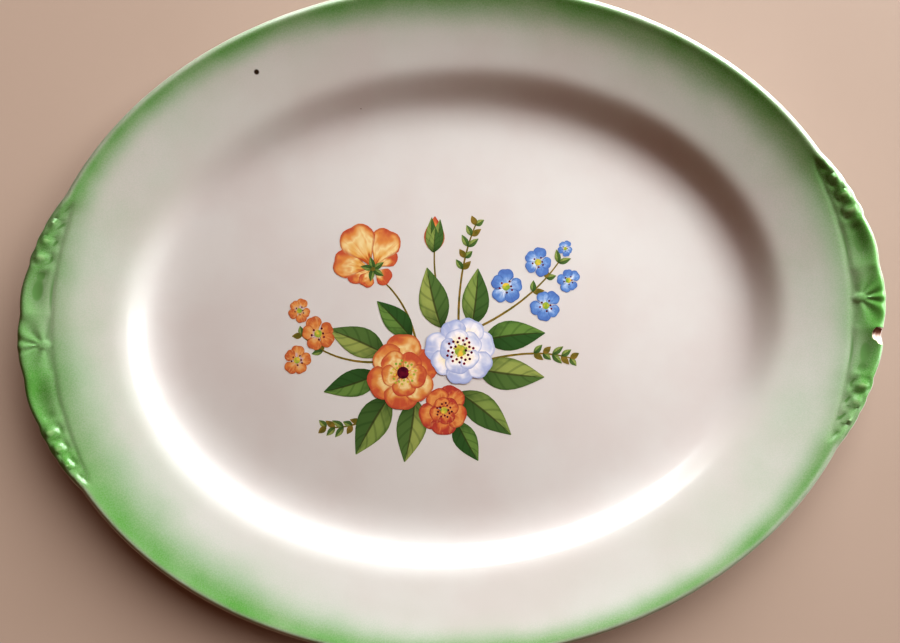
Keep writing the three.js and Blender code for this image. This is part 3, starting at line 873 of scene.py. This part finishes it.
def leaf_enamel():
    """Transfer-printed leaf: a light and a dark half, drawn veins and a dark base."""
    material, tree, shader = new_material("leaf_enamel", ENAMEL_ROUGHNESS, GLAZE_IOR)
    spot, across, along, off_middle = patch_place(tree)
    tone = add(tree, "Attribute", {"attribute_name": "tone"})[FACTOR]
    light = add(tree, "Mix", COLOURS, tone, linear("#719250"), linear("#a6ae69"))[0]
    dark = add(tree, "Mix", COLOURS, tone, linear("#3d6337"), linear("#66814b"))[0]
    half = add(tree, "MapRange", EASED, across, 0.44, 0.56)[0]
    halved = add(tree, "Mix", COLOURS, half, light, dark)[0]
    cloud = add(tree, "TexNoise", PLAIN, spot, 3.0, 3.0)[0]
    wash = add(tree, "MapRange", EASED, cloud, 0.4, 0.7, 0.0, 0.6)[0]
    washed = add(tree, "Mix", COLOURS, wash, halved, dark)[0]
    slant = add(tree, "Math", TIMES_PLUS, off_middle, -0.16, along)[0]
    phase = add(tree, "Math", TIMES, slant, 44.0)[0]
    wave = add(tree, "Math", {"operation": "SINE"}, phase)[0]
    vein = add(tree, "MapRange", EASED, wave, 0.6, 1.0, 0.0, 0.3)[0]
    veined = add(tree, "Mix", COLOURS, vein, washed, linear("#2c4a26"))[0]
    base = add(tree, "MapRange", EASED, along, 0.5, 0.0, 0.0, 0.85)[0]
    shaded = add(tree, "Mix", COLOURS, base, veined, linear("#264424"))[0]
    midrib = add(tree, "MapRange", EASED, off_middle, 0.1, 0.03, 0.0, 0.7)[0]
    ribbed = add(tree, "Mix", COLOURS, midrib, shaded, linear("#3c3c26"))[0]
    line = add(tree, "MapRange", EASED, off_middle, 0.84, 1.0, 0.0, 0.4)[0]
    edged = add(tree, "Mix", COLOURS, line, ribbed, linear("#3d5c30"))[0]
    tree.links.new(edged, shader["Base Color"])
    return material


def line_enamel(name, first, second):
    """Transfer-printed line work, uneven along its length as the ink lay."""
    material, tree, shader = new_material(name, ENAMEL_ROUGHNESS, GLAZE_IOR)
    cloud = add(tree, "TexNoise", PLAIN, add(tree, "TexCoord", PLAIN)[OBJECT], per_mm(2.5), 2.0)[0]
    ink = add(tree, "MapRange", EASED, cloud, 0.35, 0.65)[0]
    inked = add(tree, "Mix", COLOURS, ink, linear(first), linear(second))[0]
    tree.links.new(inked, shader["Base Color"])
    return material


# Flower spray. Places, lengths and widths are in percent of its half height, headings in degrees.
FINE_GRID = (12, 14)
COARSE_GRID = (6, 8)
PETAL_START = 0.06
PETAL_CROWN = 0.3
PETAL_FLATNESS = 2.4
PETAL_FLARE = 1.25
PETAL_STRAY = 0.1
PETAL_UNEVENNESS = 0.07
NOTCH_SPREAD = 0.25
LEAF_BLUNTNESS = 0.03
LEAF_BELLY = 0.8
STALK_WIDTH = 1.7
STALK_TAPER = 0.45
LEAFLET_START = 0.35
LEAFLET_RUN = 0.61
LEAFLET_TURN = 40
LEAFLET_LENGTH = 10
LEAFLET_SHORTENING = 1.2
LEAFLET_WIDTH = 4.6
LEAFLET_BEND = 0.6
LEAFLET_STEP = 0.3
GOLDEN_TURN = 137.5
EVEN_TONE = 0.5

# Eye and stamens of a small flower, in shares of its radius
SMALL_EYE = 0.22
SMALL_STAMEN = 0.06
SMALL_STAMENS_INNER = 0.24
SMALL_STAMENS_OUTER = 0.4


def grid_paper(name, across, along):
    """A flat grid that the printed patches are shaped from."""
    bpy.ops.object.select_all(action="DESELECT")
    bpy.ops.mesh.primitive_grid_add(x_subdivisions=across, y_subdivisions=along, size=2 * MM)
    paper = bpy.context.object
    paper.name = name
    return paper


def patch(paper, shape, level, tone, material):
    """A copy of the paper, whose places across and along are moved to where a shape puts them on the well."""
    piece = copied(paper, "patch")
    mesh = piece.data
    points = points_of(mesh)
    x, y = shape(points[:, 0], (points[:, 1] + 1) / 2)
    points[:, 0] = SPRAY_SHIFT[0] + x / 100 * SPRAY_HALF_HEIGHT
    points[:, 1] = SPRAY_SHIFT[1] + y / 100 * SPRAY_HALF_HEIGHT
    points[:, 2] = WELL_HEIGHT + PRINT_GAP + level * PRINT_STEP
    move_points(mesh, points)
    store(mesh, "tone", np.full(len(points), tone))
    mesh.materials.append(material)
    return piece


def petal_shape(at, heading, length, spread, crown, notch):
    """A petal that widens from its base near a flower's middle to a round edge."""

    def shape(across, along):
        dip = notch * np.exp(-((across / NOTCH_SPREAD) ** 2))
        edge = 1 - crown * np.abs(across) ** PETAL_FLATNESS - dip
        reach = length * (PETAL_START + (1 - PETAL_START) * along) * (1 + (edge - 1) * along)
        waist = 0.5 + 0.5 * np.sin(np.pi / 2 * np.clip(along * PETAL_FLARE, 0, 1))
        angle = np.radians(heading - spread / 2 * across * waist)
        return at[0] + reach * np.cos(angle), at[1] + reach * np.sin(angle)

    return shape


def leaf_shape(at, heading, length, width, bend):
    """A leaf from its base to its point, bent to one side."""

    def shape(across, along):
        run = smooth(along)
        half = width / 2 * (LEAF_BLUNTNESS + np.clip(np.sin(np.pi * run**LEAF_BELLY), 0, 1))
        forward = length * run
        side = bend * run**2 - across * half
        turn = math.radians(heading)
        x = at[0] + forward * math.cos(turn) - side * math.sin(turn)
        return x, at[1] + forward * math.sin(turn) + side * math.cos(turn)

    return shape


def tucked(at, heading):
    """A place moved back along a heading, under the bloom that a leaf or twig grows from."""
    turn = math.radians(heading)
    return at[0] - TUCK * math.cos(turn), at[1] - TUCK * math.sin(turn)


def path_points(path, shares):
    """Points and directions on a curve that leaves its start towards a pull and comes to its end from it."""
    start, pull, end = (np.array(point, dtype=float) for point in path)
    share = np.reshape(shares, (-1, 1))
    points = (1 - share) ** 2 * start + 2 * share * (1 - share) * pull + share**2 * end
    return points, (1 - share) * (pull - start) + share * (end - pull)


def path_point(path, share):
    """One point of such a curve and its heading."""
    points, directions = path_points(path, share)
    return points[0], math.degrees(math.atan2(directions[0, 1], directions[0, 0]))


def stalk_shape(path, width):
    """A stalk along a curve, thinner towards its end."""

    def shape(across, along):
        points, directions = path_points(path, along)
        directions /= np.linalg.norm(directions, axis=1)[:, None]
        half = across * width / 2 * (1 - STALK_TAPER * along)
        return points[:, 0] + directions[:, 1] * half, points[:, 1] - directions[:, 0] * half

    return shape


def disc_shape(at, radius):
    """A round dot."""

    def shape(across, along):
        up = 2 * along - 1
        x = at[0] + radius * across * np.sqrt(1 - up**2 / 2)
        return x, at[1] + radius * up * np.sqrt(1 - across**2 / 2)

    return shape


def printed(name, patches):
    """Joins patches into one printed piece and gives their films a thickness."""
    bpy.ops.object.select_all(action="DESELECT")
    for piece in patches:
        piece.select_set(True)
    bpy.context.view_layer.objects.active = patches[0]
    bpy.ops.object.join()
    motif = bpy.context.object
    motif.name = name
    motif.data.name = name
    apply_modifier(motif, "SOLIDIFY", thickness=PRINT_THICKNESS * MM, offset=-1.0)
    return motif


def whorl(at, radius, petals, turn, material, level, lap, notch, crown=PETAL_CROWN):
    """Petals set round a middle, each lapping over the one before, no two quite alike."""
    step = 360 / petals
    patches = []
    for index in range(petals):
        wobble = math.sin(2.4 * index + 0.31 * at[0])
        tone = 0.5 + 0.45 * math.sin(1.9 * index + 0.17 * at[1])
        heading = turn + step * (index + PETAL_STRAY * wobble)
        length = radius * (1 + PETAL_UNEVENNESS * wobble)
        shape = petal_shape(at, heading, length, step * lap, crown, notch)
        patches.append(patch(fine_paper, shape, level + index, tone, material))
    return patches


def stamens(at, inner, outer, count, size, material, level):
    """Dots scattered round a flower's middle."""
    patches = []
    for index in range(count):
        angle = math.radians(GOLDEN_TURN * index)
        reach = inner + (outer - inner) * math.sqrt((index + 0.5) / count)
        place = (at[0] + reach * math.cos(angle), at[1] + reach * math.sin(angle))
        patches.append(patch(coarse_paper, disc_shape(place, size), level, EVEN_TONE, material))
    return patches


def rosette(at, level, petals, whorls, eye, rows):
    """A full bloom seen from the front: whorls of petals round an eye, then rows of stamens."""
    patches = []
    for radius, count, turn, lap, notch in whorls:
        patches += whorl(at, radius, count, turn, petals, level + len(patches), lap=lap, notch=notch)
    radius, enamel = eye
    patches.append(patch(coarse_paper, disc_shape(at, radius), level + len(patches), EVEN_TONE, enamel))
    top = level + len(patches)
    for row, (inner, outer, count, size, enamel) in enumerate(rows):
        patches += stamens(at, inner, outer, count, size, enamel, top + row)
    return patches


def small_flower(at, radius, turn, petals):
    """A five-petalled flower with a dotted eye."""
    patches = whorl(at, radius, 5, turn, petals, BLOOM_LEVEL, lap=1.12, notch=0.06, crown=0.34)
    eye = disc_shape(at, radius * SMALL_EYE)
    patches.append(patch(coarse_paper, eye, BLOOM_LEVEL + 6, EVEN_TONE, pollen))
    inner = radius * SMALL_STAMENS_INNER
    outer = radius * SMALL_STAMENS_OUTER
    return patches + stamens(at, inner, outer, 6, radius * SMALL_STAMEN, maroon, BLOOM_LEVEL + 7)


def twig(path, leaflets, level):
    """A stalk with pairs of leaflets along its outer part."""
    start, heading = path_point(path, 0)
    grown = [tucked(start, heading), path[1], path[2]]
    patches = [patch(fine_paper, stalk_shape(grown, STALK_WIDTH), level, EVEN_TONE, twig_line)]
    for pair in range(1, leaflets + 1):
        point, heading = path_point(path, LEAFLET_START + LEAFLET_RUN * pair / leaflets)
        length = LEAFLET_LENGTH - LEAFLET_SHORTENING * (pair % 3)
        for side in (-LEAFLET_TURN, LEAFLET_TURN):
            shape = leaf_shape(point, heading + side, length, LEAFLET_WIDTH, LEAFLET_BEND)
            material = twig_line if (pair + side) % 3 == 0 else leaf
            layer = level + LEAFLET_STEP * len(patches)
            patches.append(patch(coarse_paper, shape, layer, 0.35 + 0.1 * pair, material))
    return patches


fine_paper = grid_paper("fine_paper", *FINE_GRID)
coarse_paper = grid_paper("coarse_paper", *COARSE_GRID)

cream = cream_glaze()
green = sprayed_green()
biscuit = biscuit_clay()
leaf = leaf_enamel()
ivory_petal = petal_enamel(
    "ivory_enamel",
    [(0.0, "#efe2a8"), (0.3, "#f7efd8"), (0.6, "#f1eef0"), (0.85, "#cfd4e4"), (1.0, "#b4bedb")],
    "#d5d6e2", "#9eaad0",
)
apricot_petal = petal_enamel(
    "apricot_enamel",
    [(0.0, "#bc6638"), (0.2, "#deae64"), (0.5, "#e8d4a0"), (0.75, "#d89a5a"), (1.0, "#c4664a")],
    "#da9654", "#b65846",
)
coral_petal = petal_enamel(
    "coral_enamel",
    [(0.0, "#8e3e30"), (0.22, "#ca7446"), (0.5, "#dda262"), (0.78, "#cc744a"), (1.0, "#b65046")],
    "#ddb272", "#a54640",
)
blue_petal = petal_enamel(
    "blue_enamel",
    [(0.0, "#dde5ee"), (0.3, "#a2bbdc"), (0.6, "#7499cc"), (1.0, "#6384bd")],
    "#5879b4", "#5570a8",
)
orange_petal = petal_enamel(
    "orange_enamel",
    [(0.0, "#ccb0bd"), (0.25, "#ddb278"), (0.6, "#d69054"), (1.0, "#c27048")],
    "#dfbc84", "#b26240",
)
twig_line = line_enamel("olive_enamel", "#6e6a30", "#8f7a3c")
maroon = line_enamel("maroon_enamel", "#7a1f3a", "#4a1030")
pollen = line_enamel("pollen_enamel", "#e6c65a", "#8fae4a")

# Blooms: middle, level, petals, whorls (radius, petals, turn, lap, notch), eye (radius, enamel) and rows of
# stamens (inner and outer reach, number, radius, enamel)
ROSETTES = {
    "ivory": (
        (22, -15), IVORY_LEVEL, ivory_petal, [(26, 7, 8, 1.35, 0.05), (17, 5, 30, 1.3, 0.05)],
        (4.2, pollen), [(3.0, 10.5, 26, 0.95, maroon), (1.0, 5.0, 10, 0.8, pollen)],
    ),
    "apricot": (
        (-22, -29), APRICOT_LEVEL, apricot_petal, [(28, 6, 20, 1.35, 0.04), (18, 5, 52, 1.25, 0.04)],
        (4.5, maroon), [(4.0, 9.5, 22, 0.9, pollen)],
    ),
    "coral": (
        (7, -59), BLOOM_LEVEL, coral_petal, [(19, 5, 50, 1.3, 0.04), (11, 4, 20, 1.2, 0.04)],
        (2.6, pollen), [(2.6, 6.0, 14, 0.75, maroon)],
    ),
}

# Leaves by base, heading, length, width and bend, twigs by path and pairs of leaflets, and small flowers by
# middle, radius and turn
LEAVES = [
    ((-40, -11), 148, 40, 22, 4), ((-46, -31), 200, 37, 20, -4), ((-37, -51), 232, 44, 24, 4),
    ((-15, -55), 262, 42, 22, -4), ((18, -73), 290, 28, 17, 3), ((24, -50), 322, 44, 22, -4),
    ((40, -31), 345, 44, 24, 4), ((46, -7), 8, 40, 22, -4), ((33, 9), 75, 37, 20, 4),
    ((7, 9), 105, 40, 22, -4), ((-18, 2), 125, 31, 18, 3),
]
TWIGS = {
    "poppy_stalk": ([(-11, -4), (-15, 26), (-37, 44)], 0),
    "bud_stalk": ([(11, 7), (4, 40), (7, 62)], 0),
    "blue_twig": ([(44, 5), (79, 20), (101, 49)], 3),
    "orange_twig": ([(-44, -20), (-75, -20), (-98, 5)], 2),
    "top_twig": ([(22, 11), (24, 50), (40, 81)], 5),
    "right_twig": ([(48, -22), (80, -16), (106, -26)], 5),
    "lower_twig": ([(-29, -51), (-58, -72), (-84, -66)], 5),
}
BLUE_FLOWERS = [
    ((59, 31), 13, 10), ((88, 15), 12, 40), ((84, 48), 11, 70), ((106, 33), 9, 25), ((105, 57), 6, 55),
]
ORANGE_FLOWERS = [((-84, 4), 13, 30), ((-101, -15), 11, 5), ((-97, 22), 9, 60)]


def poppy_bloom():
    """A full bloom seen from behind: a fan of broad petals over its calyx, and two that hang."""
    base = (-40, 50)
    petals = [
        (40, 22, 70, 0.85), (-38, 16, 74, 0.95), (190, 21, 66, 0.75), (62, 33, 62, 0.35),
        (165, 31, 60, 0.3), (115, 37, 64, 0.12), (236, 15, 70, 0.9),
    ]
    patches = []
    for index, (heading, length, spread, tone) in enumerate(petals):
        shape = petal_shape(base, heading, length, spread, PETAL_CROWN, 0.05)
        patches.append(patch(fine_paper, shape, BLOOM_LEVEL + index, tone, apricot_petal))
    for index, heading in enumerate((25, 95, 160, 250, 320)):
        sepal = leaf_shape(base, heading, 9.5, 4.4, 0.8)
        patches.append(patch(coarse_paper, sepal, BLOOM_LEVEL + 8 + index, 0.4, leaf))
    patches.append(patch(coarse_paper, disc_shape(base, 1.6), BLOOM_LEVEL + 13, 0.2, twig_line))
    return patches


def bud():
    """A bud whose sepals part over the coral petals."""
    base = (6, 60)
    patches = [patch(fine_paper, leaf_shape(base, 82, 27, 15, 1), BLOOM_LEVEL, 0.9, coral_petal)]
    sepals = [(98, 26, 9, -4), (66, 25, 9, 4), (82, 19, 8, 0)]
    for index, (heading, length, width, bend) in enumerate(sepals, 1):
        shape = leaf_shape(base, heading, length, width, bend)
        patches.append(patch(fine_paper, shape, BLOOM_LEVEL + index, EVEN_TONE, leaf))
    return patches


def make_spray():
    """All printed pieces by the name of the solid that each stands for."""
    motifs = {}
    for kind, parts in ROSETTES.items():
        motifs[f"{kind}_bloom"] = (rosette(*parts), f"{kind}_print")
    motifs["poppy_bloom"] = (poppy_bloom(), "apricot_print")
    motifs["bud"] = (bud(), "apricot_print")
    for kind, flowers, petals in (
        ("blue", BLUE_FLOWERS, blue_petal),
        ("orange", ORANGE_FLOWERS, orange_petal),
    ):
        for number, (at, radius, turn) in enumerate(flowers, 1):
            motifs[f"{kind}_flower_{number}"] = (small_flower(at, radius, turn, petals), f"{kind}_print")
    for number, (at, heading, length, width, bend) in enumerate(LEAVES, 1):
        tone = 0.45 + 0.45 * math.sin(2.1 * number)
        shape = leaf_shape(tucked(at, heading), heading, length + TUCK, width, bend)
        film = patch(fine_paper, shape, LEAF_LEVEL + number % 3, tone, leaf)
        motifs[f"leaf_{number}"] = ([film], "leaf_print")
    for name, (path, leaflets) in TWIGS.items():
        motifs[name] = (twig(path, leaflets, 0), "twig_print")
    pieces = []
    for name, (patches, slot) in motifs.items():
        pieces.append((printed(f"print_{name}_film", patches), f"print_{name}", slot))
    return pieces


# Assembly


def finish_piece(piece, node):
    """Smooths a piece, and has it ride on the platter in the place of its solid."""
    select_only(piece)
    bpy.ops.object.shade_smooth_by_angle(angle=math.radians(SMOOTH_ANGLE))
    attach(piece, "root")
    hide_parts(node)
    platter.objects.link(piece)


platter = bpy.data.collections.new("platter")
skin = oval_skin("skin", glazed_rings())
mould_handles(skin)
refine_chip(skin)
for piece, material, node, slot in (
    (make_clay_body(skin), biscuit, "clay_body", "biscuit_clay"),
    (make_glaze_coat(skin), cream, "glaze_coat", "cream_glaze"),
    (make_recess_glaze(), cream, "foot_recess_glaze", "cream_glaze"),
    (make_rim_band(skin), green, "green_rim_band", "green_rim_colour"),
):
    piece.data.materials.clear()
    piece.data.materials.append(material)
    finish_piece(piece, node)
bpy.data.objects.remove(skin)

for piece, node, slot in make_spray():
    finish_piece(piece, node)
bpy.data.objects.remove(fine_paper)
bpy.data.objects.remove(coarse_paper)

# Floor, light and camera, in metres, watts and degrees, with the sensor and lens in millimetres
FLOOR_SIZE = 6
FLOOR_ROUGHNESS = 0.6
FLOOR_IOR = 1.45
FLOOR_LAMP = {"elevation": 44, "distance": 2.0, "size": (2.2, 2.2)}
FLOOR_POWER = 69
WINDOW_AZIMUTH = 53
WINDOW_DISTANCE = 0.55
LOWER_PANE = {"elevation": 18.5, "distance": WINDOW_DISTANCE, "size": (0.25, 0.185)}
LOWER_TURN = 26.5
LOWER_POWERS = (0.8, 1.9, 2.6, 1.95, 0.15)
UPPER_PANE = {"elevation": 38, "distance": WINDOW_DISTANCE, "size": (0.24, 0.28)}
UPPER_TURN = 24
UPPER_POWERS = (0.5, 1.0, 1.1, 1.0, 0.6)
ROOM_STRENGTH = 0.22
CAMERA_PLACE = (-0.0006, 0, 0.488)
CAMERA_ROLL = -3.34
CAMERA_SENSOR = 36
CAMERA_LENS = 46.9


def floor_paint():
    """Plain pale painted floor, matt and faintly clouded."""
    material, tree, shader = new_material("floor_paint", FLOOR_ROUGHNESS, FLOOR_IOR)
    cloud = add(tree, "TexNoise", PLAIN, add(tree, "TexCoord", PLAIN)[OBJECT], per_mm(120), 3.0)[0]
    clouded = add(tree, "Mix", COLOURS, cloud, linear("#a99788"), linear("#b19f91"))[0]
    tree.links.new(clouded, shader["Base Color"])
    return material


bpy.ops.object.select_all(action="DESELECT")
bpy.ops.mesh.primitive_plane_add(size=FLOOR_SIZE, location=(0, 0, 0))
floor = bpy.context.object
floor.name = "floor"
floor.data.materials.append(floor_paint())


def soft_lamp(name, lit, power, azimuth, elevation, distance, size):
    """A soft lamp that faces the platter's middle and lights one group of pieces."""
    lamp = bpy.data.lights.new(name, "AREA")
    lamp.shape = "RECTANGLE"
    lamp.size, lamp.size_y = size
    lamp.energy = power
    lamp.color = linear("#f8fcff")[:3]
    holder = bpy.data.objects.new(name, lamp)
    bpy.context.collection.objects.link(holder)
    level = math.cos(math.radians(elevation))
    heading = math.radians(azimuth)
    height = math.sin(math.radians(elevation))
    direction = Vector((level * math.cos(heading), level * math.sin(heading), height))
    holder.location = direction * distance
    holder.rotation_euler = direction.to_track_quat("Z", "Y").to_euler()
    holder.visible_camera = False
    holder.light_linking.receiver_collection = lit
    return holder


def pane_row(name, powers, turn, pane):
    """A row of panes that curves round the platter, with the window's azimuth at its middle."""
    first = WINDOW_AZIMUTH - turn * (len(powers) // 2)
    lamps = []
    for number, power in enumerate(powers):
        lamps.append(soft_lamp(f"{name}_{number}", platter, power, first + turn * number, **pane))
    return lamps


# A bay window round the platter's upper right, whose upper panes are seen only as a reflection in the glaze
pane_row("lower_pane", LOWER_POWERS, LOWER_TURN, LOWER_PANE)
for lamp in pane_row("upper_pane", UPPER_POWERS, UPPER_TURN, UPPER_PANE):
    lamp.visible_diffuse = False

ground = bpy.data.collections.new("ground")
ground.objects.link(floor)
soft_lamp("floor_lamp", ground, FLOOR_POWER, WINDOW_AZIMUTH, **FLOOR_LAMP)

world = bpy.data.worlds.new("room")
bpy.context.scene.world = world
world.use_nodes = True
room_light = world.node_tree.nodes["Background"].inputs
room_light["Color"].default_value = linear("#d49c80")
room_light["Strength"].default_value = ROOM_STRENGTH

camera_data = bpy.data.cameras.new("camera")
camera_data.sensor_width = CAMERA_SENSOR
camera_data.lens = CAMERA_LENS
camera = bpy.data.objects.new("camera", camera_data)
camera.location = CAMERA_PLACE
camera.rotation_euler = (0, 0, math.radians(CAMERA_ROLL))
bpy.context.collection.objects.link(camera)
bpy.context.scene.camera = camera
bpy.context.scene.view_settings.view_transform = "Standard"
bpy.context.scene.view_settings.look = "High Contrast"
